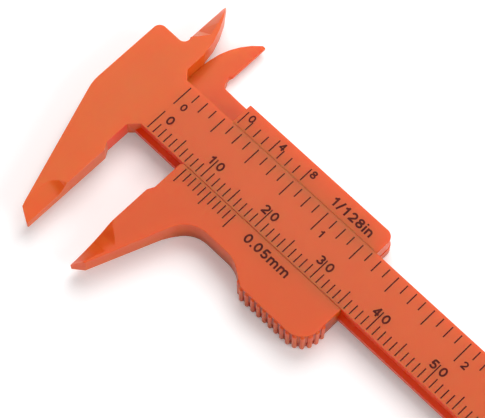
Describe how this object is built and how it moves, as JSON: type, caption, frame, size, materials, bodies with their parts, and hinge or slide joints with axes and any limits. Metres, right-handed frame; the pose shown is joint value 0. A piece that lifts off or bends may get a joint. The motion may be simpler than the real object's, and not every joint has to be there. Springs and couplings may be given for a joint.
{
  "type": "vernier caliper",
  "caption": "Moulded plastic vernier caliper: a graduated beam with fixed outer and inner jaws, and a slider with matching jaws, a ribbed thumb grip and vernier strips.",
  "frame": {"origin": "middle of the base of the whole caliper at the pictured opening, on the back of the slider", "axes": "+X along the beam from the jaws to its free end, +Y from the beam towards the inner jaws, +Z out of the graduated front"},
  "size_m": [0.112, 0.0407, 0.0048],
  "materials": {
    "beam_plastic": "smooth injection-moulded orange-red plastic, lightly glossy",
    "slider_plastic": "smooth injection-moulded orange-red plastic, lightly glossy"
  },
  "bodies": {
    "beam": {"beam": "beam_plastic"},
    "slider": {"slider": "slider_plastic"}
  },
  "joints": [
    {"name": "slider_travel", "type": "slide", "parent": "beam", "child": "slider", "axis": [1, 0, 0], "range_m": [-0.00795, 0.07205]}
  ]
}
